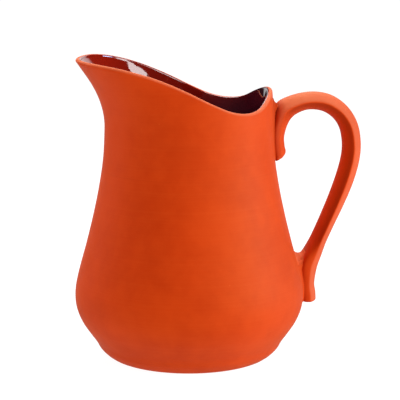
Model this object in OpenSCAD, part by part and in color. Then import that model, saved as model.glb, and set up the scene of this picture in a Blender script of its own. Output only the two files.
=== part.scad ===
// Ceramic pitcher: a cast terracotta vessel with a pulled-out pouring lip, a glazed inside
// and a strap handle that is luted on with slip at two tails.
// Millimetres, +Z up, -X towards the spout, +X towards the handle.

/* [Body] */
// Height from the table to the highest point of the pouring lip
body_h = 190; // [182:1:196]
// Widest diameter, low on the belly
belly_d = 146; // [140:1:152]
// Diameter of the neck, just under the lip
neck_d = 106.4; // [102:0.2:110]
// Diameter that stands on the table
foot_d = 104; // [98:1:108]
// Thickness of the clay wall, level with the table
wall = 4; // [3.2:0.2:5]
// Thickness of the clay under the pitcher's inside
floor_t = 6; // [5:0.5:8]
// Depth of the recess inside the foot ring
foot_recess = 2.2; // [1.5:0.1:3]
// Width of the foot ring's resting face
foot_ring_w = 6; // [4:0.5:9]

/* [Rim and lip] */
// From the vessel's axis to the tip of the pouring lip
spout_reach = 70.8; // [66:0.2:74]
// Height of the rim over the handle
rim_back_h = 172.6; // [170:0.2:175]
// Lowest height of the rim, on both sides in front of the handle
rim_low_h = 159.6; // [156:0.2:162]
// Thickness of the rounded rim
rim_t = 3; // [2.6:0.2:3.6]

/* [Glaze] */
// Thickness of the glaze inside
glaze_t = 0.4; // [0.3:0.05:0.6]
// How far the glaze stops below the rim's crest
glaze_line = 0.5; // [0.4:0.1:1.2]

/* [Handle] */
// From the vessel's axis to the outermost point of the handle
handle_reach = 111; // [106:0.2:115]
// Height of the top of the handle's arch
handle_top_h = 167; // [163:0.5:169]
// Width of the strap
strap_w = 18; // [15:0.5:21]
// Thickness of the strap, at its thickest
strap_t = 12; // [10.5:0.5:13]
// Thickness of the slip that holds each tail
slip_t = 0.5; // [0.4:0.1:0.8]

/* [Hidden] */

clay = [0.84, 0.27, 0.09];
glaze = [0.26, 0.03, 0.03];
slip = [0.80, 0.30, 0.13];

belly_r = belly_d / 2;
neck_r = neck_d / 2;
foot_r = foot_d / 2;
rim_r = rim_t / 2;
axis_x = (max(belly_r, spout_reach) - handle_reach) / 2; // the origin is under the middle of it all
contact_gap = 0.03;                        // between pieces that are fitted face to face

facets = 72;      // round the vessel
flare_z = 147;    // the lip starts to lean out here
straight_z = 179; // and runs on straight from here
lip_lean = 0.72;  // outward run for each millimetre of rise, once it is straight

// Outside of the wall: [height, radius]
wall_line = [
    [0, foot_r - 0.4], [0.6, foot_r + 0.8], [5, foot_r + 5.4], [10, foot_r + 8.3], [16, foot_r + 12.6],
    [23, belly_r - 3.9], [31, belly_r - 0.8], [38.5, belly_r], [46, belly_r - 0.7], [57, belly_r - 3.3],
    [72, belly_r - 7.5], [90, neck_r + 7.8], [108, neck_r + 4], [127, neck_r + 1.1],
    [flare_z, neck_r], [160, neck_r + 0.3], [body_h, neck_r + 0.3]];

// Rim from above: [angle from the handle's side, outer radius]
rim_plan = [
    [0, neck_r - 0.8], [60, neck_r - 0.1], [85, neck_r - 0.8], [100, neck_r - 1.4], [110, neck_r - 0.6],
    [120, neck_r + 2.6], [130, spout_reach - 9.8], [140, spout_reach - 5], [150, spout_reach - 2.3],
    [165, spout_reach - 0.7], [180, spout_reach]];

// Rim from the side: [x, height of the crest]
rim_side = [
    [-spout_reach, body_h], [-58, body_h - 0.5], [-44, body_h - 2.8], [-28, body_h - 7.3],
    [-10, body_h - 14.7], [8, rim_low_h + 6.9], [20, rim_low_h + 1.8], [31, rim_low_h], [40, rim_low_h + 1.7],
    [47, rim_back_h - 5.9], [neck_r, rim_back_h]];

// Handle from the side, from the upper tail over the arch to the lower tail: [x, height, half thickness]
strap_side = [
    [neck_r + 4.6, 127.6, strap_t * 0.38], [neck_r + 3.8, 132.4, strap_t * 0.36],
    [neck_r + 3.4, 139.5, strap_t * 0.365], [neck_r + 4.8, 148.2, strap_t * 0.45],
    [neck_r + 7.7, handle_top_h - 11.8, strap_t * 0.56], [neck_r + 13, handle_top_h - 8.3, strap_t * 0.515],
    [73.6, handle_top_h - 6, strap_t * 0.473],
    [81.3, handle_top_h - 5.7, strap_t * 0.477], [88.8, handle_top_h - 7.5, strap_t * 0.487],
    [95.3, handle_top_h - 11.6, strap_t * 0.488], [handle_reach - 10.8, handle_top_h - 17.2, strap_t * 0.493],
    [handle_reach - 7.5, 142.5, strap_t * 0.504], [handle_reach - 6.1, 132.5, strap_t * 0.51],
    [handle_reach - 7, 122.6, strap_t * 0.51], [handle_reach - 10.3, 110.4, strap_t * 0.508],
    [95.5, 96.8, strap_t * 0.48], [89.3, 82.7, strap_t * 0.445], [84.4, 71.8, strap_t * 0.442],
    [81, 63.4, strap_t * 0.475], [belly_r + 4.6, 54.8, strap_t * 0.51], [belly_r + 3.6, 46, strap_t * 0.455],
    [belly_r + 3.6, 41, strap_t * 0.433], [belly_r + 4.3, 36.5, strap_t * 0.437],
    [belly_r + 4.6, 33, strap_t * 0.43]];
strap_steps = 3;    // rings between two rows of strap_side
strap_sides = 20;   // corners of a ring
end_round = 2.2;    // rounding of the strap's cut ends
edge_point = 1.8;   // the section is an oval at 1 and a pointed lens at 2
edge_soft = 0.3;    // how round its two points are
upper_slant = 0.4;  // the upper tail is cut off aslant, lowest at the wall
lower_slant = 0.12;
tail_low = 30.6;    // lower end of the lower slip
upper_tail_end = 4; // last row of strap_side that leans on the wall at the top
lower_tail_start = 17;

// Slip between strap and wall: [height, thickness]; it fills the corner under the strap's lower end
upper_bed = [[121, slip_t], [161, slip_t]];
lower_bed = [[27, slip_t], [54, slip_t], [57.5, slip_t + 0.7], [60.5, slip_t + 2.4], [64.5, slip_t + 4.3]];

// Value at x of a smooth curve through the rows [x, value]; with level_ends it arrives level
function row_of(rows, x, i = 0) = i >= len(rows) - 2 || x < rows[i + 1][0] ? i : row_of(rows, x, i + 1);
function steepness(rows, i, level_ends) =
    let (last = len(rows) - 1, a = max(i - 1, 0), b = min(i + 1, last))
    level_ends && (i == 0 || i == last) ? 0 * rows[i][1]
    : (rows[b][1] - rows[a][1]) / (rows[b][0] - rows[a][0]);
function smooth(rows, x, level_ends = false) =
    let (i = row_of(rows, x), w = rows[i + 1][0] - rows[i][0], t = (x - rows[i][0]) / w)
    (2 * t ^ 3 - 3 * t ^ 2 + 1) * rows[i][1] + (t ^ 3 - 2 * t ^ 2 + t) * w * steepness(rows, i, level_ends)
    + (3 * t ^ 2 - 2 * t ^ 3) * rows[i + 1][1] + (t ^ 3 - t ^ 2) * w * steepness(rows, i + 1, level_ends);

// How far the straight-fronted lip has leaned out at height z
function lean(z) =
    let (curve = lip_lean / (straight_z - flare_z) / 2)
    z <= flare_z ? 0
    : z <= straight_z ? curve * (z - flare_z) ^ 2
    : curve * (straight_z - flare_z) ^ 2 + lip_lean * (z - straight_z);

// The wall's outer radius at an angle from the handle's side, and the rim's height there
function half_turn(angle) = let (a = abs(angle) % 360) a > 180 ? 360 - a : a;
function rim_radius(angle) = smooth(rim_plan, half_turn(angle), true);
function rim_height(angle) = smooth(rim_side, (rim_radius(angle) - rim_r) * cos(angle));
function wall_radius(angle, z) =
    let (start = smooth(wall_line, z), top = rim_height(angle) - rim_r)
    start + (rim_radius(angle) - smooth(wall_line, top)) * lean(z) / lean(top);

// Heights of the rings, outside from the foot up and inside from the floor up
low_heights = [for (row = wall_line) if (row[0] < flare_z) row[0]];
outer_heights = [
    for (i = [0:len(low_heights) - 1])
        let (gap = (i + 1 < len(low_heights) ? low_heights[i + 1] : flare_z) - low_heights[i])
        for (half = [0:gap > 9 ? 1 : 0]) low_heights[i] + half * gap / 2];
upper_steps = 9;
thinning = 10;    // the wall thins to the rim's thickness over this height
function outer_height(angle, i) =
    i < len(outer_heights) ? outer_heights[i]
    : let (top = rim_height(angle) - rim_r)
      flare_z + (top - flare_z) * (i - len(outer_heights)) / upper_steps;
outer_rings = len(outer_heights) + upper_steps;

bowl_round = 20; // the inside's floor curves up into the wall over this height
bowl_steps = 6;
function bowl_radius(angle, z) =
    let (seat_z = floor_t + bowl_round, seat = wall_radius(angle, seat_z) - wall)
    z >= seat_z ? wall_radius(angle, z) - wall
    : seat - bowl_round * 1.1 * (1 - sqrt(max(0, 1 - ((seat_z - z) / bowl_round) ^ 2)));
function inner_height(angle, i) =
    i <= bowl_steps ? floor_t + bowl_round * (1 - cos(90 * i / bowl_steps))
    : let (first = [for (z = outer_heights) if (z > floor_t + bowl_round + 2) z], k = i - bowl_steps - 1)
      k < len(first) ? first[k]
      : let (top = rim_height(angle) - glaze_line, step = k - len(first))
        flare_z + (top - flare_z) * step / (upper_steps - 1);
inner_rings = bowl_steps + len([for (z = outer_heights) if (z > floor_t + bowl_round + 2) z]) + upper_steps;
function inner_radius(angle, z) =
    let (
        crest = rim_height(angle),
        mid = wall_radius(angle, crest - rim_r) - rim_r,
        below = crest - rim_r - z)
    below >= 0 ? bowl_radius(angle, z) + (wall - rim_t) * max(0, 1 - below / thinning)
    : mid - sqrt(max(0, rim_r ^ 2 - below ^ 2));

// A point of the vessel: radius and height in the half plane at an angle
function polar(angle, r, z) = [axis_x + r * cos(angle), r * sin(angle), z];
function outer_point(angle, i) = let (z = outer_height(angle, i)) polar(angle, wall_radius(angle, z), z);
function rim_point(angle, turn) =
    let (crest = rim_height(angle), mid = wall_radius(angle, crest - rim_r) - rim_r)
    polar(angle, mid + rim_r * cos(turn), crest - rim_r + rim_r * sin(turn));
function inner_point(angle, i, skin = 0) =
    let (z = inner_height(angle, i))
    polar(angle, inner_radius(angle, z) - skin, z + (i == 0 ? skin : 0));

// Closed skin over rings of equal length: each ring is a list of points, and the ends are capped
module loft(rings) {
    n = len(rings[0]);
    points = [for (ring = rings) each ring];
    sides = [
        for (i = [0:len(rings) - 2], j = [0:n - 1])
            let (a = i * n + j, b = i * n + (j + 1) % n)
            each [[a, a + n, b], [b, a + n, b + n]]];
    first = [for (j = [0:n - 1]) j];
    last = [for (j = [n - 1:-1:0]) (len(rings) - 1) * n + j];
    polyhedron(points = points, faces = concat(sides, [first, last]));
}

function ring(point) = [for (j = [0:facets - 1]) point(360 * j / facets)];

// The clay vessel, cast in one piece: foot ring, belly, neck, pouring lip and rounded rim
module pitcher_body() {
    rim_turns = [30, 60, 90, 120, 150];
    recess_r = foot_r - foot_ring_w;
    color(clay)
    difference() {
        loft([
            for (i = [0:outer_rings]) ring(function (a) outer_point(a, i)),
            for (t = rim_turns) ring(function (a) rim_point(a, t)),
            for (i = [inner_rings:-1:0]) ring(function (a) inner_point(a, i))]);
        translate([axis_x, 0, -1])
        cylinder(h = foot_recess + 1, r1 = recess_r + 1, r2 = recess_r - foot_recess, $fn = facets);
    }
}

// The glass skin fused to the vessel's inside, from the floor to just under the rim
module glaze_lining() {
    color(glaze)
    loft([
        for (i = [0:inner_rings]) ring(function (a) inner_point(a, i, contact_gap)),
        for (i = [inner_rings:-1:0]) ring(function (a) inner_point(a, i, glaze_t))]);
}

// Centre line of the strap with its half thickness, by row number
strap_rows = [for (i = [0:len(strap_side) - 1]) [i, strap_side[i]]];
last_row = len(strap_side) - 1;
function strap_centre(s) = smooth(strap_rows, s);
function strap_heading(s) =
    let (
        a = strap_centre(max(s - 0.05, 0)),
        b = strap_centre(min(s + 0.05, last_row)),
        d = [b.x - a.x, b.y - a.y])
    d / norm(d);

// Radius at which the strap's back may lie: on the wall with its bed of slip
function bed_of(z) =
    z > 95 ? smooth(upper_bed, min(max(z, 121), 161)) : smooth(lower_bed, min(max(z, 27), 64.5));
function clear_of_wall(p) =
    let (
        angle = atan2(p.y, p.x),
        r = norm([p.x, p.y]),
        near = wall_radius(angle, p.z) + bed_of(p.z) + contact_gap)
    r >= near ? p : [p.x * near / r, p.y * near / r, p.z];

// How square the strap's section is, from 0 where it is free to 1 where it lies on the wall
function on_wall(s) =
    s < last_row / 2 ? min(max((upper_tail_end + 0.6 - s) / 2, 0), 1)
    : min(max((s - lower_tail_start) / 1.5, 0), 1);

// Corner of the strap's section; turn 0 and 180 are its edges, 90 its outer face
function end_slant(s) =
    upper_slant * max(0, 1 - s / 1.4) - lower_slant * max(0, 1 - (last_row - s) / 1.4);
function strap_corner(s, turn, size, along) =
    let (
        c = strap_centre(s), heading = strap_heading(s), side = [-heading.y, heading.x],
        wall_side = s < last_row / 2 ? 1 : -1,
        square = sign(sin(turn)) == wall_side ? on_wall(s) : 0,
        across = sign(cos(turn)) * abs(cos(turn)) ^ (1 - 0.6 * square),
        lens = edge_point - (edge_point - 0.4) * square,
        depth = sin(turn) * ((sin(turn) ^ 2 + edge_soft ^ 2) / (1 + edge_soft ^ 2)) ^ ((lens - 1) / 2),
        n = c.z * depth * size,
        ahead = along - n * end_slant(s))
    [c.x + side.x * n + heading.x * ahead, strap_w / 2 * across * size, c.y + side.y * n + heading.y * ahead];

function strap_ring(s, size = 1, along = 0) =
    [for (j = [0:strap_sides - 1])
        let (out = clear_of_wall(strap_corner(s, 360 * j / strap_sides, size, along)))
        [axis_x + out.x, out.y, out.z]];

// The strap handle, cast by itself, with a blunt rounded end at each tail
module handle() {
    round_ends = [for (t = [80, 55, 28]) [1 - 0.4 * (1 - cos(t)), sin(t)]];
    color(clay)
    loft([
        for (e = round_ends) strap_ring(0, e[0], -end_round * e[1]),
        for (k = [0:last_row * strap_steps]) strap_ring(k / strap_steps),
        for (i = [2:-1:0]) strap_ring(last_row, round_ends[i][0], end_round * round_ends[i][1])]);
}

// A bed of slip on the wall: it spans the strap's width, and its edge is squeezed out thin
module slip_bed(z_low, z_top) {
    across = [-1, -0.93, -0.7, -0.35, 0, 0.35, 0.7, 0.93, 1];
    ups = 12;
    function width(part) = (strap_w / 2 + 0.7) * (1 - 0.3 * max(0, 2 * abs(part - 0.5) - 0.85) / 0.15);
    function bed_point(z, y, lift) =
        let (near = wall_radius(0, z), r = near + lift + 0.006)
        [axis_x + sqrt(r ^ 2 - y ^ 2), y, z];
    rings = [
        for (u = [0:ups])
            let (part = u / ups, z = z_low + (z_top - z_low) * part, thin = u == 0 ? 0.35 : 1)
            [
                for (a = across) bed_point(z, a * width(part), bed_of(z) * (abs(a) == 1 ? 0.35 : 1) * thin),
                for (i = [len(across) - 1:-1:0]) bed_point(z, across[i] * width(part), 0)
            ]];
    color(slip) loft(rings);
}

module upper_luting() {
    slip_bed(124, 160);
}

module lower_luting() {
    slip_bed(tail_low, 61);
}

pitcher_body();
glaze_lining();
handle();
upper_luting();
lower_luting();
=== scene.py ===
import math
import bpy
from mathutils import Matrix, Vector


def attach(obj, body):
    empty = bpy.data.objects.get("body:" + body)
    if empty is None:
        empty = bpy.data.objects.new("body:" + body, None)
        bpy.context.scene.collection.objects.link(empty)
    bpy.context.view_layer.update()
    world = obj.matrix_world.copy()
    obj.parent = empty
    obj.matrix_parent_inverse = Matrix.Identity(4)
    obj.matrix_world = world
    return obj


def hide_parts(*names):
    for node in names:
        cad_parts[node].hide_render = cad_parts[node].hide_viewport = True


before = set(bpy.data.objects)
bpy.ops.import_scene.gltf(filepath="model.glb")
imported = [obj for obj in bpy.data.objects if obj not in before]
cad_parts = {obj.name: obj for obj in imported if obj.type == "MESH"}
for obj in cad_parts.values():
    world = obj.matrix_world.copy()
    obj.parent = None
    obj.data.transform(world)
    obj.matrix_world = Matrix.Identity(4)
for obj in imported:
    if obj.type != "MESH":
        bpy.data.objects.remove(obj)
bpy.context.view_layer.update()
mm = 0.001
weld = 0.002 * mm          # points closer than this are one
print("frame loaded:", ", ".join(sorted(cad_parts)))


# nodes: one class for sums on sockets, one for everything else

class Wire:
    def __init__(self, tree, socket):
        self.tree, self.socket = tree, socket

    def sum(self, operation, *others):
        return self.tree.add("ShaderNodeMath", {"operation": operation}, dict(enumerate((self, *others))))

    def __add__(self, other): return self.sum("ADD", other)
    def __sub__(self, other): return self.sum("SUBTRACT", other)
    def __mul__(self, other): return self.sum("MULTIPLY", other)
    def __truediv__(self, other): return self.sum("DIVIDE", other)
    def __pow__(self, other): return self.sum("POWER", other)
    def __mod__(self, other): return self.sum("FLOORED_MODULO", other)
    def __neg__(self): return self.sum("MULTIPLY", -1)
    def __abs__(self): return self.sum("ABSOLUTE")
    def __radd__(self, other): return self.sum("ADD", other)
    def __rmul__(self, other): return self.sum("MULTIPLY", other)

    def __rsub__(self, other):
        return self.tree.add("ShaderNodeMath", {"operation": "SUBTRACT"}, {0: other, 1: self})

    def least(self, other): return self.sum("MINIMUM", other)
    def most(self, other): return self.sum("MAXIMUM", other)
    def over(self, other): return self.sum("GREATER_THAN", other)


class Tree:
    def __init__(self, nodeTree):
        self.nodeTree = nodeTree

    # kind of node, its settings, then values or wires by socket name or number
    def add(self, kind, settings=None, sockets=None, out=0):
        node = self.nodeTree.nodes.new(kind)
        for name, value in (settings or {}).items():
            setattr(node, name, value)
        for name, value in (sockets or {}).items():
            if isinstance(value, Wire):
                self.nodeTree.links.new(value.socket, node.inputs[name])
            else:
                node.inputs[name].default_value = value
        self.last = node
        return Wire(self, node.outputs[out]) if node.outputs else None

    def also(self, out):
        return Wire(self, self.last.outputs[out])

    def ramp(self, wire, low, high):
        return self.add("ShaderNodeMapRange", {"interpolation_type": "SMOOTHSTEP"},
                        {"Value": wire, "From Min": low, "From Max": high})

    def mix(self, factor, first, second):
        colours = [c if isinstance(c, Wire) else (*c, 1) for c in (first, second)]
        return self.add("ShaderNodeMix", {"data_type": "RGBA"},
                        {0: factor, 6: colours[0], 7: colours[1]}, out=2)

    def noise(self, where, scale, detail=2.0, rough=0.5):
        return self.add("ShaderNodeTexNoise", {}, {"Vector": where, "Scale": scale, "Detail": detail,
                                                  "Roughness": rough})


# a curve through a few rows

def smooth(rows, x, levelEnds=False):
    last = len(rows) - 1
    i = 0
    while i < last - 1 and x >= rows[i + 1][0]:
        i += 1

    def slope(k):
        if levelEnds and k in (0, last):
            return 0.0
        a, b = max(k - 1, 0), min(k + 1, last)
        return (rows[b][1] - rows[a][1]) / (rows[b][0] - rows[a][0])

    w = rows[i + 1][0] - rows[i][0]
    t = (x - rows[i][0]) / w
    return ((2 * t ** 3 - 3 * t ** 2 + 1) * rows[i][1] + (t ** 3 - 2 * t ** 2 + t) * w * slope(i)
            + (3 * t ** 2 - 2 * t ** 3) * rows[i + 1][1] + (t ** 3 - t ** 2) * w * slope(i + 1))


def steps(low, high, count):
    return [low + (high - low) * k / count for k in range(count + 1)]


# the vessel's shape, in mm

vessel = {
    "axisX": -19,          # the vessel's own axis
    "neck": 53.2,          # outer radius of the neck
    "flareFrom": 147,      # the lip starts to lean out at this height
    "straightFrom": 179,   # and runs on straight from here
    "rimRadius": 1.5,      # of the rounded rim
    "wall": 4,
    "thinning": 10,        # below the rim the wall thickens from the rim's width over this height
    "floor": 6,
    "bowlRound": 20,
    # underside from the middle out: radius, height
    "underside": [(0, 2.2), (12, 2.2), (26, 2.2), (38, 2.2), (43.1, 2.2), (43.8, 2.05), (44.5, 1.5),
                  (45.4, 0.6), (45.9, 0.18), (46.5, 0), (48.5, 0), (50.8, 0), (51.5, 0.1), (52.2, 0.4),
                  (52.9, 0.95)],
    "floorRows": (36, 26, 16, 8, 0),
    "shoulderShares": (0.06, 0.14, 0.24, 0.36, 0.48, 0.6, 0.72, 0.84, 0.94),
    # rows of the lathe: from, to, how many
    "outsideRows": (1.7, 146, 108),
    "insideRows": (145.5, 27, 90),
    "lipRowsOutside": 32,
    "lipRowsInside": 18,
    "rimRows": (14, 180, 12),      # degrees round the rim from outside
    "bowlRows": (90, 0, 14),       # degrees round the bottom of the inside
    # outside of the wall: height, radius
    "outline": [(0, 51.6), (0.6, 52.8), (5, 57.4), (10, 60.3), (16, 64.6), (23, 69.1), (31, 72.2),
                (38.5, 73), (46, 72.3), (57, 69.7), (72, 65.5), (90, 61), (108, 57.2), (127, 54.3),
                (147, 53.2), (160, 53.2)],
    # rim from above: degrees from the handle's side, outer radius
    "rimPlan": [(0, 52.4), (60, 53.1), (85, 52.4), (100, 51.8), (110, 52.6), (120, 55.8), (130, 61),
                (140, 65.8), (150, 68.5), (165, 70.1), (180, 70.8)],
    # rim from the side: x from the axis, height of the crest
    "rimSide": [(-70.8, 190), (-58, 189.5), (-44, 187.2), (-28, 182.7), (-10, 175.3), (8, 166.5),
                (20, 161.4), (31, 159.6), (40, 161.3), (47, 166.7), (53.2, 172.6)],
    "turns": 256,
}


def wallRadius(height):
    return smooth(vessel["outline"], min(height, vessel["flareFrom"]))


# one point of the rim's middle line for each turn
def rimPoint(degrees):
    fromBack = 180 - abs(180 - degrees % 360)
    radius = smooth(vessel["rimPlan"], fromBack, True)
    along = (radius - vessel["rimRadius"]) * math.cos(math.radians(degrees))
    height = smooth(vessel["rimSide"], along) - vessel["rimRadius"]
    turn = math.radians(degrees)
    return radius * math.cos(turn) * mm, radius * math.sin(turn) * mm, height * mm


# a row of the lathe's outline: radius, height, share of the lip's rise, then offsets out and up
def row(radius, height, lift=0.0, out=0.0, up=0.0):
    return radius, height, lift, out, up


def innerRows(coarse=1.0):
    v = vessel
    rows = [row(v["neck"], v["flareFrom"], lift, -v["wall"], -v["thinning"] * lift)
            for lift in steps(1, 0, int(v["lipRowsInside"] * coarse))]
    high, low, count = v["insideRows"]
    rows += [row(wallRadius(z) - v["wall"], z) for z in steps(high, low, int(count * coarse))]
    seat = wallRadius(v["floor"] + v["bowlRound"]) - v["wall"]
    for angle in steps(*v["bowlRows"]):
        a = math.radians(angle)
        rows.append(row(seat - v["bowlRound"] * 1.1 * (1 - math.sin(a)),
                        v["floor"] + v["bowlRound"] * (1 - math.cos(a))))
    return rows + [row(r, v["floor"]) for r in v["floorRows"]]


def bodyRows():
    v = vessel
    rows = [row(r, z) for r, z in v["underside"]]
    rows += [row(wallRadius(z), z) for z in steps(*v["outsideRows"])]
    rows += [row(v["neck"], v["flareFrom"], lift) for lift in steps(0, 1, v["lipRowsOutside"])]
    for angle in steps(*v["rimRows"]):
        a = math.radians(angle)
        rows.append(row(v["neck"], v["flareFrom"], 1, v["rimRadius"] * (math.cos(a) - 1),
                        v["rimRadius"] * math.sin(a)))
    return rows + shoulderRows(0) + innerRows(0.5)


# from the rounded rim down to where the wall has its full thickness
def shoulderRows(skin):
    v = vessel
    thin = 2 * v["rimRadius"]
    return [row(v["neck"], v["flareFrom"], 1, -thin - (v["wall"] - thin) * t - skin, -v["thinning"] * t)
            for t in v["shoulderShares"]]


glaze = {
    "thick": 0.4,
    "hair": 0.03,                                     # between glaze and clay, so they never share a face
    # degrees round the rim from outside, thickness: it thins out just inside the crest
    "edge": [(180, 0.4), (169, 0.4), (159, 0.39), (150, 0.37), (143, 0.33), (137, 0.27), (132, 0.2),
             (128, 0.13), (125, 0.08), (123, 0.04)],
}


def glazeRows():
    v = vessel

    def roundRim(turns):
        found = []
        for angle, thick in turns:
            a, reach = math.radians(angle), v["rimRadius"] + thick
            found.append(row(v["neck"], v["flareFrom"], 1, reach * math.cos(a) - v["rimRadius"],
                             reach * math.sin(a)))
        return found

    def skin(rows, thick):
        return [row(max(r - (thick if r > 0 else 0), 0), z + (thick if z == v["floor"] else 0),
                    lift, out, up) for r, z, lift, out, up in rows]

    hidden = roundRim([(angle, glaze["hair"]) for angle in (126, 132, 140, 150, 160, 170, 180)])
    back = skin(innerRows(0.5), glaze["hair"])
    front = shoulderRows(glaze["thick"]) + skin(innerRows(1.0), glaze["thick"])
    return (back[::-1] + shoulderRows(glaze["hair"])[::-1] + hidden[::-1]
            + roundRim(glaze["edge"])[::-1] + front)


# lathe with a lip: turns an outline round the axis and leans its top out to the rim line

def newGeometryTree(name, inputs):
    group = bpy.data.node_groups.new(name, "GeometryNodeTree")
    group.interface.new_socket("Geometry", in_out="INPUT", socket_type="NodeSocketGeometry")
    for label, (kind, value) in inputs.items():
        socket = group.interface.new_socket(label, in_out="INPUT", socket_type="NodeSocket" + kind)
        if kind in ("Float", "Int"):
            socket.default_value = value
    group.interface.new_socket("Geometry", in_out="OUTPUT", socket_type="NodeSocketGeometry")
    tree = Tree(group)
    start = group.nodes.new("NodeGroupInput")
    tree.inputs = {s.name: Wire(tree, s) for s in start.outputs if s.name}
    return tree


def finishGeometryTree(tree, geometry):
    # the grid's faces point inwards until they are flipped
    geometry = tree.add("GeometryNodeFlipFaces", {}, {"Mesh": geometry})
    whole = tree.add("GeometryNodeRealizeInstances", {}, {"Geometry": geometry})
    painted = tree.add("GeometryNodeSetMaterial", {}, {"Geometry": whole, "Material": tree.inputs["Finish"]})
    end = tree.nodeTree.nodes.new("NodeGroupOutput")
    tree.nodeTree.links.new(painted.socket, end.inputs[0])


def sampleVector(tree, geometry, name, index):
    if name == "position":
        value = tree.add("GeometryNodeInputPosition")
    else:
        value = tree.add("GeometryNodeInputNamedAttribute", {"data_type": "FLOAT_VECTOR"}, {"Name": name})
    tree.add("GeometryNodeSampleIndex", {"data_type": "FLOAT_VECTOR", "domain": "POINT"},
             {"Geometry": geometry, "Value": value, "Index": index})
    sampled = tree.also("Value")
    tree.add("ShaderNodeSeparateXYZ", {}, {0: sampled})
    return tree.also(0), tree.also(1), tree.also(2)


def store(tree, geometry, name, value):
    return tree.add("GeometryNodeStoreNamedAttribute", {"data_type": "FLOAT", "domain": "POINT"},
                    {"Geometry": geometry, "Name": name, "Value": value})


# a grid of rows by turns, with each vertex's row and turn number
def rowGrid(tree, source, turns):
    rows = tree.add("GeometryNodeAttributeDomainSize", {"component": "MESH"}, {"Geometry": source})
    across = turns + 1
    grid = tree.add("GeometryNodeMeshGrid", {}, {"Vertices X": rows, "Vertices Y": across})
    index = tree.add("GeometryNodeInputIndex")
    return grid, (index / across).sum("FLOOR"), index % across


def latheWithLip():
    tree = newGeometryTree("Lathe with a lip", {
        "Rim line": ("Object", None), "Turns": ("Int", vessel["turns"]),
        "Axis X": ("Float", vessel["axisX"] * mm), "Flare from": ("Float", vessel["flareFrom"] * mm),
        "Straight from": ("Float", vessel["straightFrom"] * mm),
        "Neck": ("Float", vessel["neck"] * mm), "Crest": ("Float", vessel["rimRadius"] * mm),
        "Finish": ("Material", None)})
    i = tree.inputs
    grid, rowNumber, turnNumber = rowGrid(tree, i["Geometry"], i["Turns"])
    tree.add("GeometryNodeObjectInfo", {"transform_space": "ORIGINAL"}, {"Object": i["Rim line"]})
    rimLine = tree.also("Geometry")
    rimX, rimY, rimZ = sampleVector(tree, rimLine, "position", turnNumber % i["Turns"])
    radius, _, height = sampleVector(tree, i["Geometry"], "position", rowNumber)
    lift, out, up = sampleVector(tree, i["Geometry"], "lip", rowNumber)

    flareFrom = i["Flare from"]
    run = i["Straight from"] - flareFrom
    rimReach = (rimX * rimX + rimY * rimY).sum("SQRT")
    z = height + lift * (rimZ - flareFrom) + up

    # share of the full lean at a height: a parabola that runs on straight
    def lean(atHeight):
        rise = (atHeight - flareFrom).most(0)
        bent = rise.least(run)
        return bent * bent / (2 * run) + (rise - run).most(0)

    r = radius + out + (rimReach - i["Neck"]) * lean(z.least(rimZ)) / lean(rimZ)
    place = tree.add("ShaderNodeCombineXYZ", {},
                     {0: i["Axis X"] + rimX / rimReach * r, 1: rimY / rimReach * r, 2: z})
    shaped = tree.add("GeometryNodeSetPosition", {}, {"Geometry": grid, "Position": place})
    shaped = store(tree, shaped, "depth", (rimZ + i["Crest"] - z) / mm)
    closed = tree.add("GeometryNodeMergeByDistance", {}, {"Geometry": shaped, "Distance": weld})
    soft = tree.add("GeometryNodeSetShadeSmooth", {}, {"Geometry": closed})
    finishGeometryTree(tree, soft)
    return tree.nodeTree


def pointMesh(name, points, attributes=None):
    mesh = bpy.data.meshes.new(name)
    mesh.from_pydata(points, [], [])
    for label, values in (attributes or {}).items():
        layer = mesh.attributes.new(label, "FLOAT_VECTOR", "POINT")
        layer.data.foreach_set("vector", [n for value in values for n in value])
    piece = bpy.data.objects.new(name, mesh)
    bpy.context.scene.collection.objects.link(piece)
    return piece


# runs a tree on a piece and keeps the result as its plain mesh
def applyTree(piece, nodeTree, values):
    modifier = piece.modifiers.new("shape", "NODES")
    modifier.node_group = nodeTree
    for item in nodeTree.interface.items_tree:
        if item.in_out == "INPUT" and item.name in values:
            modifier[item.identifier] = values[item.name]
    piece.update_tag()
    bpy.context.view_layer.update()
    evaluated = piece.evaluated_get(bpy.context.evaluated_depsgraph_get())
    mesh = bpy.data.meshes.new_from_object(evaluated)
    piece.modifiers.remove(modifier)
    old = piece.data
    piece.data = mesh
    mesh.name = piece.name
    bpy.data.meshes.remove(old)
    return piece


def latheRows(name, rows, nodeTree, rimLine, finish):
    piece = pointMesh(name, [(r * mm, 0, z * mm) for r, z, *_ in rows],
                      {"lip": [(lift, out * mm, up * mm) for _, _, lift, out, up in rows]})
    return applyTree(piece, nodeTree, {"Rim line": rimLine, "Finish": finish})


def newFinish(name):
    material = bpy.data.materials.new(name)
    material.use_nodes = True
    material.node_tree.nodes.clear()
    tree = Tree(material.node_tree)
    tree.material = material
    return tree


def surface(tree, sockets):
    shader = tree.add("ShaderNodeBsdfPrincipled", {}, sockets)
    tree.add("ShaderNodeOutputMaterial", {}, {"Surface": shader})
    return tree.material


clay = {
    "deep": (0.580, 0.031, 0.0018),
    "warm": (0.660, 0.041, 0.0026),
    "dust": (0.86, 0.24, 0.05),         # pale rings, bloom, specks and scratches
    # rubAndLit: pale of wear, together with a painted highlight on the lip's edge, the handle's outer face
    # and the lower web
    "rubAndLit": (0.86, 0.235, 0.10),         # pale of the lip's edge and the handle's outer face
    "pit": (0.30, 0.014, 0.002),
    "bloom": 0.05,                      # how much pale dust lies on the broad faces
    "grain": 0.05,                      # mm, height of the surface's grain
    "seamHeight": 120.5,                # mm, a faint dark line round the vessel
    "seamHalf": 0.4,
}


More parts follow.
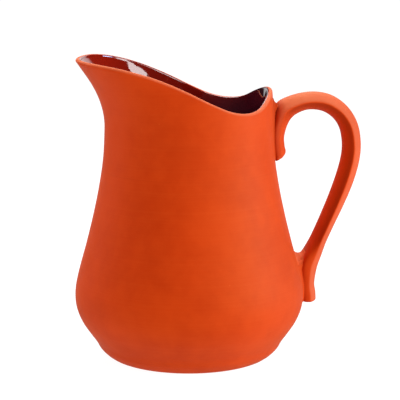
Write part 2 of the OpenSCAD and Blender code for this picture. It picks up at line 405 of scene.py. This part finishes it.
def terracottaFinish(name, cast=1.0, lipEdge=True, rubbedAndLit=0.0):
    tree = newFinish(name)
    where = tree.add("ShaderNodeTexCoord", out=3)
    tree.add("ShaderNodeSeparateXYZ", {}, {0: where})
    z = tree.also(2)

    clouds = tree.noise(where, 22, 3, 0.55)
    patches = tree.noise(where, 95, 3, 0.6)
    body = tree.mix(tree.ramp(clouds * 0.7 + patches * 0.3, 0.34, 0.66), clay["deep"], clay["warm"])

    # faint rings and one faint line round the vessel, and none on the handle
    wander = tree.noise(where, 9, 1) * 0.004
    rings = tree.add("ShaderNodeTexNoise", {"noise_dimensions": "1D"},
                     {"W": z + wander, "Scale": 700, "Detail": 3, "Roughness": 0.7})
    broadRings = tree.add("ShaderNodeTexNoise", {"noise_dimensions": "1D"},
                          {"W": z + wander, "Scale": 120, "Detail": 1})
    body = tree.mix(tree.ramp(rings, 0.35, 0.75) * (0.025 * cast), body, clay["dust"])
    body = tree.mix(tree.ramp(broadRings, 0.3, 0.8) * (0.05 * cast), body, clay["deep"])
    fromSeam = abs(z + wander * 0.15 - clay["seamHeight"] * mm)
    seam = (1 - (fromSeam / (clay["seamHalf"] * mm)).least(1)) * tree.ramp(clouds, 0.38, 0.6)
    body = tree.mix(seam * (0.10 * cast), body, clay["pit"])

    # dust bloom in fine grain
    grain = tree.noise(where, 2600, 2, 0.7)
    bloom = tree.ramp(grain, 0.35, 0.8) * tree.ramp(patches, 0.25, 0.75)
    body = tree.mix(bloom * clay["bloom"], body, clay["dust"])

    # pale specks and small dark pits: few of a field of cells, each a small dot
    tree.add("ShaderNodeTexVoronoi", {}, {"Vector": where, "Scale": 300, "Randomness": 1})
    near, cell = tree.also("Distance"), tree.also("Color")
    tree.add("ShaderNodeSeparateColor", {}, {0: cell})
    pick, size = tree.also(0), tree.also(1)
    speck = (1 - tree.ramp(near / (0.03 + 0.08 * size), 0.5, 1.0)) * pick.over(0.93)
    body = tree.mix(speck * 0.30, body, clay["dust"])
    tree.add("ShaderNodeTexVoronoi", {}, {"Vector": where, "Scale": 520, "Randomness": 1})
    pitNear, pitCell = tree.also("Distance"), tree.also("Color")
    tree.add("ShaderNodeSeparateColor", {}, {0: pitCell})
    pitPick = tree.also(2)
    pit = (1 - tree.ramp(pitNear, 0.05, 0.14)) * pitPick.over(0.95)
    body = tree.mix(pit * 0.35, body, clay["pit"])

    # short pale scratches in a few patches, low down
    slanted = tree.add("ShaderNodeMapping", {}, {"Vector": where, "Rotation": (0.3, 0.25, 0.5),
                                                 "Scale": (60, 60, 1500)})
    strokes = tree.noise(slanted, 1, 1, 0.4)
    scraped = tree.ramp(tree.noise(where, 34, 2), 0.60, 0.72) * (1 - tree.ramp(z, 0.07, 0.11))
    scratch = tree.ramp(strokes, 0.735, 0.76) * scraped
    body = tree.mix(scratch * 0.35, body, clay["dust"])

    if lipEdge:
        # pale along the lip's edge: bare rubbed clay, partly a painted highlight along the rounded crest
        depth = tree.add("ShaderNodeAttribute", {"attribute_name": "depth"}, out="Fac")
        edge = (1 - tree.ramp(depth, 0.2, 1.8)) * (0.7 + 0.3 * patches)
        body = tree.mix(edge * 0.5, body, clay["rubAndLit"])

    # painted shade, in the dark pit colour: darker in the corners by the wall and inside the handle, where
    # shade falls
    if not lipEdge:
        shut = tree.add("ShaderNodeAttribute", {"attribute_name": "shut"}, out="Fac")
        body = tree.mix(shut * (0.85 + 0.3 * patches), body, clay["pit"])

    # the handle's outer face is paler, most of all over its arch: partly wear, partly a painted highlight
    # where the light falls
    if rubbedAndLit:
        worn = tree.add("ShaderNodeAttribute", {"attribute_name": "worn"}, out="Fac")
        body = tree.mix(worn * (0.8 + 0.4 * patches) * rubbedAndLit, body, clay["rubAndLit"])

    tone = tree.noise(where, 400, 2)
    rough = 0.54 + 0.10 * tone + 0.06 * bloom - 0.05 * scratch
    height = grain * 0.5 + rings * (0.4 * cast) + tone * 0.6 - pit * 2.2 + speck * 0.6 - scratch * 0.8
    bump = tree.add("ShaderNodeBump", {}, {"Strength": 0.3, "Distance": clay["grain"] * mm, "Height": height})
    return surface(tree, {"Base Color": body, "Roughness": rough, "Normal": bump, "IOR": 1.2,
                          "Specular IOR Level": 1.0, "Specular Tint": (1.0, 0.92, 0.16, 1),
                          "Sheen Weight": 0.07, "Sheen Roughness": 0.5, "Sheen Tint": (1.0, 0.50, 0.10, 1)})


glass = {
    # thin to deep is partly thicker glaze, partly painted shade; shadedPool is painted shade deep inside
    "thin": (0.29, 0.0075, 0.0010),
    "deep": (0.19, 0.0045, 0.0012),
    "shadedPool": (0.050, 0.0038, 0.010),
    "spot": (0.34, 0.05, 0.015),
    "dullFrom": 20,          # mm below the rim
    "dullBy": 28,
}


def oxbloodFinish(name):
    tree = newFinish(name)
    where = tree.add("ShaderNodeTexCoord", out=3)
    depth = tree.add("ShaderNodeAttribute", {"attribute_name": "depth"}, out="Fac")
    tree.add("ShaderNodeSeparateXYZ", {}, {0: where})
    x = tree.also(0)
    drawn = tree.add("ShaderNodeMapping", {}, {"Vector": where, "Scale": (1, 1, 0.16)})
    streak = tree.noise(drawn, 130, 3, 0.55)
    cloud = tree.noise(where, 40, 2)
    # darker further down and towards the handle's side: partly deeper glaze, partly painted shade of the
    # inside
    level = depth + (streak - 0.5) * 8 + (x / mm - vessel["axisX"]) * 0.55
    body = tree.mix(tree.ramp(level, -34, 8), glass["thin"], glass["deep"])
    body = tree.mix(tree.ramp(level + (cloud - 0.5) * 12, 4, 29), body, glass["shadedPool"])
    fleck = tree.ramp(tree.noise(where, 900, 1), 0.70, 0.78) * tree.ramp(streak, 0.45, 0.65)
    body = tree.mix(fleck * 0.25, body, glass["spot"])
    # a fine breaking line where the glaze thins out on the rim
    edge = 1 - tree.ramp(depth + (streak - 0.5) * 0.3, 0.12, 0.5)
    body = tree.mix(edge * 0.8, body, clay["warm"])
    # duller far down, only so that a lamp isn't mirrored a second time inside
    dull = tree.ramp(depth, glass["dullFrom"], glass["dullBy"])
    rough = 0.05 + 0.04 * tree.noise(where, 260, 2) + 0.15 * edge + 0.7 * dull
    swell = tree.noise(where, 55, 2) + tree.noise(where, 420, 1) * 0.08
    bump = tree.add("ShaderNodeBump", {}, {"Strength": 0.12, "Distance": 0.2 * mm, "Height": swell})
    return surface(tree, {"Base Color": body, "Roughness": rough, "Normal": bump, "IOR": 1.58,
                          "Coat Weight": 0.7 * (1 - dull), "Coat Roughness": 0.03})


terracotta = terracottaFinish("terracotta")
handleClay = terracottaFinish("terracotta handle", cast=0.0, lipEdge=False, rubbedAndLit=0.54)
slipClay = terracottaFinish("sponged slip", cast=0.0, lipEdge=False, rubbedAndLit=0.4)
oxblood = oxbloodFinish("oxblood glaze")
print("finishes made")

rimLine = pointMesh("rimLine", [rimPoint(360 * k / vessel["turns"]) for k in range(vessel["turns"])])
lathe = latheWithLip()
body = latheRows("claybody", bodyRows(), lathe, rimLine, terracotta)
lining = latheRows("glazeskin", glazeRows(), lathe, rimLine, oxblood)
bpy.data.objects.remove(rimLine)
print("vessel and glaze turned:", len(body.data.polygons), "and", len(lining.data.polygons), "faces")

# handle: a lens-shaped strap swept along its centre line and bedded on the wall

strap = {
    "width": 18,
    "lens": 1.8,             # 1 is an oval section, 2 is pointed at its two arrises
    "soft": 0.3,             # how round the arrises are
    "rowsPerStep": 8,
    "sides": 64,
    "bed": 0.5,              # mm of slip under the tails
    "lookFrom": 200,         # mm from the axis, outside the whole handle
    "endRound": 2.2,
    "endTurns": (12, 24, 36, 48, 60, 72, 82),   # degrees round each end's edge
    "endCap": (0.58, 0.4, 0.2, 0.0),            # shares of the section, in to its middle
    "slantUp": 0.4,          # the upper tail is cut aslant, lowest at the wall
    "slantLow": 0.12,
    "leavesWallTop": 4.6,    # row numbers where the strap, flat on the wall at both ends, leaves it
    "leavesWallLow": 17,
    # from the upper tail over the arch to the lower tail: x from the axis, height, half thickness
    "line": [(57.8, 127.6, 4.56), (57, 132.4, 4.32), (56.6, 139.5, 4.38), (58, 148.2, 5.4),
             (60.9, 155.2, 6.72), (66.2, 158.7, 6.18), (73.6, 161, 5.68), (81.3, 161.3, 5.72),
             (88.8, 159.5, 5.84), (95.3, 155.4, 5.86), (100.2, 149.8, 5.92), (103.5, 142.5, 6.05),
             (104.9, 132.5, 6.09), (104, 122.6, 6.12), (100.7, 110.4, 6.1), (95.5, 96.8, 5.76),
             (89.3, 82.7, 5.34), (84.4, 71.8, 5.3), (81, 63.4, 5.7), (77.6, 54.8, 6.12),
             (76.6, 46, 5.46), (76.6, 41, 5.2), (77.3, 36.5, 5.24), (77.6, 33, 5.16)],
}


def strapAt(s):
    return [smooth([(k, row[n]) for k, row in enumerate(strap["line"])], s) for n in range(3)]


# rows of the sweep: centre, heading, and how the section is sized, cut and flattened
def strapRows():
    last = len(strap["line"]) - 1
    ends = [(1 - 0.4 * (1 - math.cos(math.radians(a))), math.sin(math.radians(a)))
            for a in strap["endTurns"]]
    ends += [(share, 1) for share in strap["endCap"]]
    plan = [(0, size, -reach) for size, reach in ends[::-1]]
    plan += [(s, 1, 0) for s in steps(0, last, last * strap["rowsPerStep"])]
    plan += [(last, size, reach) for size, reach in ends]
    points, headings, sections, cuts = [], [], [], []
    for s, size, reach in plan:
        x, z, half = strapAt(s)
        x0, z0, _ = strapAt(max(s - 0.05, 0))
        x1, z1, _ = strapAt(min(s + 0.05, last))
        long = math.hypot(x1 - x0, z1 - z0)
        hx, hz = (x1 - x0) / long, (z1 - z0) / long
        upper = s < last / 2
        flat = (strap["leavesWallTop"] - s) / 2 if upper else (s - strap["leavesWallLow"]) / 1.5
        flat = min(max(flat, 0), 1)
        slant = strap["slantUp"] * max(0, 1 - s / 1.4) - strap["slantLow"] * max(0, 1 - (last - s) / 1.4)
        points.append(((vessel["axisX"] + x) * mm, 0, z * mm))
        headings.append((hx, 0, hz))
        sections.append((half * size * mm, strap["width"] / 2 * size * mm, flat if upper else -flat))
        cuts.append((reach * strap["endRound"] * mm, slant, 0))
    return points, {"heading": headings, "section": sections, "cut": cuts}


def sweepOnWall():
    tree = newGeometryTree("Strap on a wall", {
        "Wall": ("Object", None), "Sides": ("Int", strap["sides"]), "Lens": ("Float", strap["lens"]),
        "Soft": ("Float", strap["soft"]),
        "Bed": ("Float", strap["bed"] * mm), "Axis X": ("Float", vessel["axisX"] * mm),
        "Finish": ("Material", None)})
    i = tree.inputs
    grid, rowNumber, sideNumber = rowGrid(tree, i["Geometry"], i["Sides"])
    x, _, z = sampleVector(tree, i["Geometry"], "position", rowNumber)
    headX, _, headZ = sampleVector(tree, i["Geometry"], "heading", rowNumber)
    half, halfWidth, flat = sampleVector(tree, i["Geometry"], "section", rowNumber)
    reach, slant, _ = sampleVector(tree, i["Geometry"], "cut", rowNumber)
    turn = sideNumber / i["Sides"] * (2 * math.pi)
    c, s = turn.sum("COSINE"), turn.sum("SINE")
    pressed = (flat * s.sum("SIGN")).most(0)
    y = c.sum("SIGN") * (abs(c) + 0.00001) ** (1 - 0.6 * pressed) * halfWidth
    lens = i["Lens"] - (i["Lens"] - 0.4) * pressed
    soft = i["Soft"] * i["Soft"]
    n = s * ((s * s + soft) / (1 + soft)) ** ((lens - 1) / 2) * half
    ahead = reach - n * slant
    px = x - headZ * n + headX * ahead - i["Axis X"]
    pz = z + headX * n + headZ * ahead

    # each corner looks back at the wall and stays clear of it by the bed of slip
    span = (px * px + y * y).sum("SQRT")
    dirX, dirY = px / span, y / span
    far = strap["lookFrom"] * mm
    eye = tree.add("ShaderNodeCombineXYZ", {}, {0: i["Axis X"] + dirX * far, 1: dirY * far, 2: pz})
    look = tree.add("ShaderNodeCombineXYZ", {}, {0: -dirX, 1: -dirY, 2: 0.0})
    tree.add("GeometryNodeObjectInfo", {"transform_space": "ORIGINAL"}, {"Object": i["Wall"]})
    wall = tree.also("Geometry")
    tree.add("GeometryNodeRaycast", {}, {"Target Geometry": wall, "Source Position": eye,
                                         "Ray Direction": look, "Ray Length": far})
    hitDistance = tree.also("Hit Distance")
    clear = span.most(far - hitDistance + i["Bed"])
    place = tree.add("ShaderNodeCombineXYZ", {}, {0: i["Axis X"] + dirX * clear, 1: dirY * clear, 2: pz})
    shaped = tree.add("GeometryNodeSetPosition", {}, {"Geometry": grid, "Position": place})
    # painted shade along the arris inside the loop and beside the wall; pale outside and over the arch,
    # partly wear and partly a painted highlight
    onWall = tree.ramp((flat * s).most(0), 0.0, 0.5)
    inner = tree.ramp(-s, 0.0, 0.3) * (1 - 0.75 * tree.ramp(-s, 0.45, 0.95)) * (1 - abs(flat))
    inner = inner * (0.65 + 0.25 * headX.least(0) * -1)
    shaped = store(tree, shaped, "shut", inner.most(onWall * (0.3 + 0.25 * flat.over(0))))
    outer = tree.ramp(s, -0.15, 0.5) * (1 - onWall)
    shaped = store(tree, shaped, "worn", outer * (0.36 + 0.64 * (0.8 * headX + 0.5 * headZ).most(0)))
    closed = tree.add("GeometryNodeMergeByDistance", {}, {"Geometry": shaped, "Distance": weld})
    smoothed = tree.add("GeometryNodeSetShadeSmooth", {}, {"Geometry": closed})
    finishGeometryTree(tree, smoothed)
    return tree.nodeTree


strapPoints, strapGuides = strapRows()
handle = pointMesh("strap", strapPoints, strapGuides)
applyTree(handle, sweepOnWall(), {"Wall": body, "Finish": handleClay})
print("handle swept:", len(handle.data.polygons), "faces")

# slip: a pad under each tail, drawn up its sides, and a web in the corner over the lower one

slip = {
    "sink": 0.35,           # mm into the clay, so no gap shows
    "upperCove": 0.5,       # mm past the strap on each side, where the slip is drawn up it
    "lowerCove": 1.3,
    "coveSteps": 9,
    "columns": 12,          # between the two coves
    "rowEvery": 1.2,        # mm up the outline
    "backRows": 24,
    # outline from the side: mm off the wall, height
    "upper": [(0, 124.9), (0.4, 125.3), (0.7, 126), (0.8, 127), (0.8, 140), (0.9, 152), (1.3, 156),
              (2.4, 158.4), (2.8, 159.5), (2.3, 160.4), (1.5, 161.2), (0.8, 162), (0.35, 162.9), (0, 163.9)],
    "lower": [(0, 30.9), (0.5, 31.3), (1.0, 32), (1.2, 33.2), (1.2, 44), (1.3, 50), (1.9, 54), (3.4, 58),
              (5.4, 61.5), (7.2, 65.0), (6.2, 64.0), (5.2, 63.2), (4.2, 62.7), (3.2, 62.5), (2.3, 62.6),
              (1.5, 62.9), (0.8, 63.5), (0.35, 64.3), (0, 65.4)],
    "webFrom": 54, "webFall": 5.5,   # above this height the slip falls away to its sides by so much
    "webOver": 8,            # mm of height over which that comes in
    "webFold": 61.5,         # above this height the outline turns back, and must not fold in the coves
    # the lower web turns pale towards its upturned top: partly dust, partly a painted highlight
    "paleFrom": 55, "paleOver": 7,   # heights over which the lower pad turns pale
    # half width of the strap at the wall, by height
    "upperWidth": [(124, 7.8), (128, 8.4), (150, 8.4), (158, 8.2), (163, 7.6)],
    "lowerWidth": [(30, 8.2), (34, 8.75), (52, 8.75), (58, 8.0), (66, 6.6)],
}


def slipPad(name, outline, widths, reach, falls=0.0, shut=0.0):
    loop = []
    for (a, low), (b, high) in zip(outline, outline[1:]):
        parts = max(2, int(abs(high - low) / slip["rowEvery"]))
        loop += [(a + (b - a) * k / parts, low + (high - low) * k / parts) for k in range(parts)]
    loop.append(outline[-1])
    calm = [z for _, z in loop]
    if falls:
        turn = next(k for k, z in enumerate(calm) if z > slip["webFold"])
        calm[turn:] = steps(calm[turn], calm[-1], len(calm) - 1 - turn)
    back = steps(outline[-1][1], outline[0][1], slip["backRows"])
    loop += [(-slip["sink"], z) for z in back]
    calm += back
    # across: the cove from its outer edge in, the middle, and the other cove
    cove = [math.sin(math.pi / 2 * k / slip["coveSteps"]) for k in range(slip["coveSteps"])]
    left = [(-1.0, 1 - math.sqrt(1 - share ** 2), 1 - share) for share in cove]
    middle = [(a, 1.0, 0.0) for a in steps(-1, 1, slip["columns"])]
    right = [(1.0, lift, past) for _, lift, past in reversed(left)]
    points, faces = [], []
    across = left + middle + right
    for side, lift, past in across:
        for (off, outlineZ), calmZ in zip(loop, calm):
            z = calmZ + (outlineZ - calmZ) * lift
            half = smooth(widths, min(max(z, widths[0][0]), widths[-1][0]))
            y = (side * half + math.copysign(past * reach, side)) * mm
            rise = min(max((z - slip["webFrom"]) / slip["webOver"], 0), 1)
            level = z - falls * rise * rise * (3 - 2 * rise) * (abs(y) / mm / (half + reach)) ** 2
            raised = off * lift if off > 0 else off
            radius = (wallRadius(level) + raised) * mm
            points.append((vessel["axisX"] * mm + math.sqrt(radius ** 2 - y ** 2), y, level * mm))
    count = len(loop)
    for k in range(len(across) - 1):
        for j in range(count):
            nextJ = (j + 1) % count
            faces.append((k * count + j, (k + 1) * count + j, (k + 1) * count + nextJ, k * count + nextJ))
    faces.append(tuple(range(count)))
    faces.append(tuple((len(across) - 1) * count + j for j in reversed(range(count))))
    mesh = bpy.data.meshes.new(name)
    mesh.from_pydata(points, [], faces)
    mesh.polygons.foreach_set("use_smooth", [True] * len(faces))
    mesh.materials.append(slipClay)
    # painted shade makes the upper pad a little darker all over; the lower one is pale on its web, partly
    # dust and partly a painted highlight
    worn = [min(max((z / mm - slip["paleFrom"]) / slip["paleOver"], 0), 1) if falls else 0
            for _, _, z in points]
    mesh.attributes.new("shut", "FLOAT", "POINT").data.foreach_set("value", [shut] * len(points))
    mesh.attributes.new("worn", "FLOAT", "POINT").data.foreach_set("value", worn)
    piece = bpy.data.objects.new(name, mesh)
    bpy.context.scene.collection.objects.link(piece)
    return piece


upperPad = slipPad("upperslip", slip["upper"], slip["upperWidth"], slip["upperCove"], shut=0.3)
lowerPad = slipPad("lowerslip", slip["lower"], slip["lowerWidth"], slip["lowerCove"], slip["webFall"])
print("slip pads laid")

for piece, node, slot in ((body, "pitcher_body", "terracotta"), (lining, "glaze_lining", "glaze"),
                          (handle, "handle", "handle_clay"), (upperPad, "upper_luting", "slip"),
                          (lowerPad, "lower_luting", "slip")):
    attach(piece, "root")
    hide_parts(node)

# floor, lights and camera

studio = {
    "floorColour": (0.15, 0.15, 0.15),
    "floorGlow": 0.95,
    "floorRadius": 1.3,
    "floorSides": 96,
    "seenWhite": 1.05,       # behind the object, for the camera alone
    "fill": 0.30,            # from all round, on matte faces
    "gloom": 0.015,          # from all round, mirrored in gloss
    "backBand": 0.75,        # a bright band behind, mostly for gloss, up to bandTop
    "bandTop": 0.2,
    "bandLean": 0.6,         # it rises to the right
    "aim": (-0.012, 0.0, 0.0989),
    "eye": (-0.153, -1.0015, 0.2956),
    "lens": 145.7,
    "sensor": 36,
    "middle": (-0.019, 0, 0.12),     # every light faces it
    # name, place, size, watts, colour, mirrored in gloss
    "lights": [
        ("keyWindow", (0.70, -0.83, 0.62), (0.40, 0.54), 4.7, (1, 1, 1), True),
        ("sideRight", (1.10, -0.38, 0.36), (0.6, 0.5), 7.8, (0.95, 1.5, 2.4), True),
        ("fillLeft", (-0.95, -0.35, 1.00), (0.9, 0.7), 4.0, (1, 1, 1), False),
        ("rimLeft", (-0.98, 0.62, 0.36), (0.5, 0.7), 2.0, (1, 1, 1), False),
        ("topBox", (-0.08, 0.55, 1.00), (1.0, 0.8), 12.0, (1, 1, 1), True),
    ],
}

floorMesh = bpy.data.meshes.new("floor")
floorTurns = [2 * math.pi * k / studio["floorSides"] for k in range(studio["floorSides"])]
floorMesh.from_pydata([(studio["floorRadius"] * math.cos(a), studio["floorRadius"] * math.sin(a), 0)
                       for a in floorTurns], [], [tuple(range(studio["floorSides"]))])
floor = bpy.data.objects.new("floor", floorMesh)
bpy.context.scene.collection.objects.link(floor)
paper = newFinish("studio paper")
surface(paper, {"Base Color": (*studio["floorColour"], 1), "Roughness": 0.9, "Specular IOR Level": 0.1,
                "Emission Color": (1, 1, 1, 1), "Emission Strength": studio["floorGlow"]})
floorMesh.materials.append(paper.material)
floor.visible_glossy = False

world = bpy.data.worlds.new("studio")
bpy.context.scene.world = world
world.use_nodes = True
world.node_tree.nodes.clear()
sky = Tree(world.node_tree)
towards = sky.add("ShaderNodeTexCoord")
sky.add("ShaderNodeSeparateXYZ", {}, {0: towards})
side, behind, rise = sky.also(0), sky.also(1), sky.also(2)
bandTop = studio["bandTop"] + studio["bandLean"] * side.most(0)
band = sky.ramp(behind, 0.70, 0.80) * sky.ramp(side, -0.42, -0.33) * (1 - sky.ramp(rise - bandTop, -0.12, 0))
sky.add("ShaderNodeLightPath")
isSeen, isGloss = sky.also("Is Camera Ray"), sky.also("Is Glossy Ray")
around = studio["fill"] + (studio["gloom"] - studio["fill"]) * isGloss
around = around + band * studio["backBand"] * (0.3 + 0.7 * isGloss)
brightness = around + (studio["seenWhite"] - around) * isSeen
glow = sky.add("ShaderNodeBackground", {}, {"Color": (1, 1, 1, 1), "Strength": brightness})
sky.add("ShaderNodeOutputWorld", {}, {"Surface": glow})

for name, place, size, watts, colour, mirrored in studio["lights"]:
    lamp = bpy.data.lights.new(name, "AREA")
    lamp.shape = "RECTANGLE"
    lamp.size, lamp.size_y = size
    lamp.energy = watts
    lamp.color = colour
    light = bpy.data.objects.new(name, lamp)
    light.location = place
    light.visible_glossy = mirrored
    light.rotation_euler = (Vector(studio["middle"]) - Vector(place)).to_track_quat("-Z", "Y").to_euler()
    bpy.context.scene.collection.objects.link(light)

lens = bpy.data.cameras.new("camera")
lens.lens = studio["lens"]
lens.sensor_width = studio["sensor"]
camera = bpy.data.objects.new("camera", lens)
camera.location = studio["eye"]
camera.rotation_euler = (Vector(studio["aim"]) - Vector(studio["eye"])).to_track_quat("-Z", "Y").to_euler()
bpy.context.scene.collection.objects.link(camera)
bpy.context.scene.camera = camera
bpy.context.scene.view_settings.view_transform = "Standard"
print("studio set")
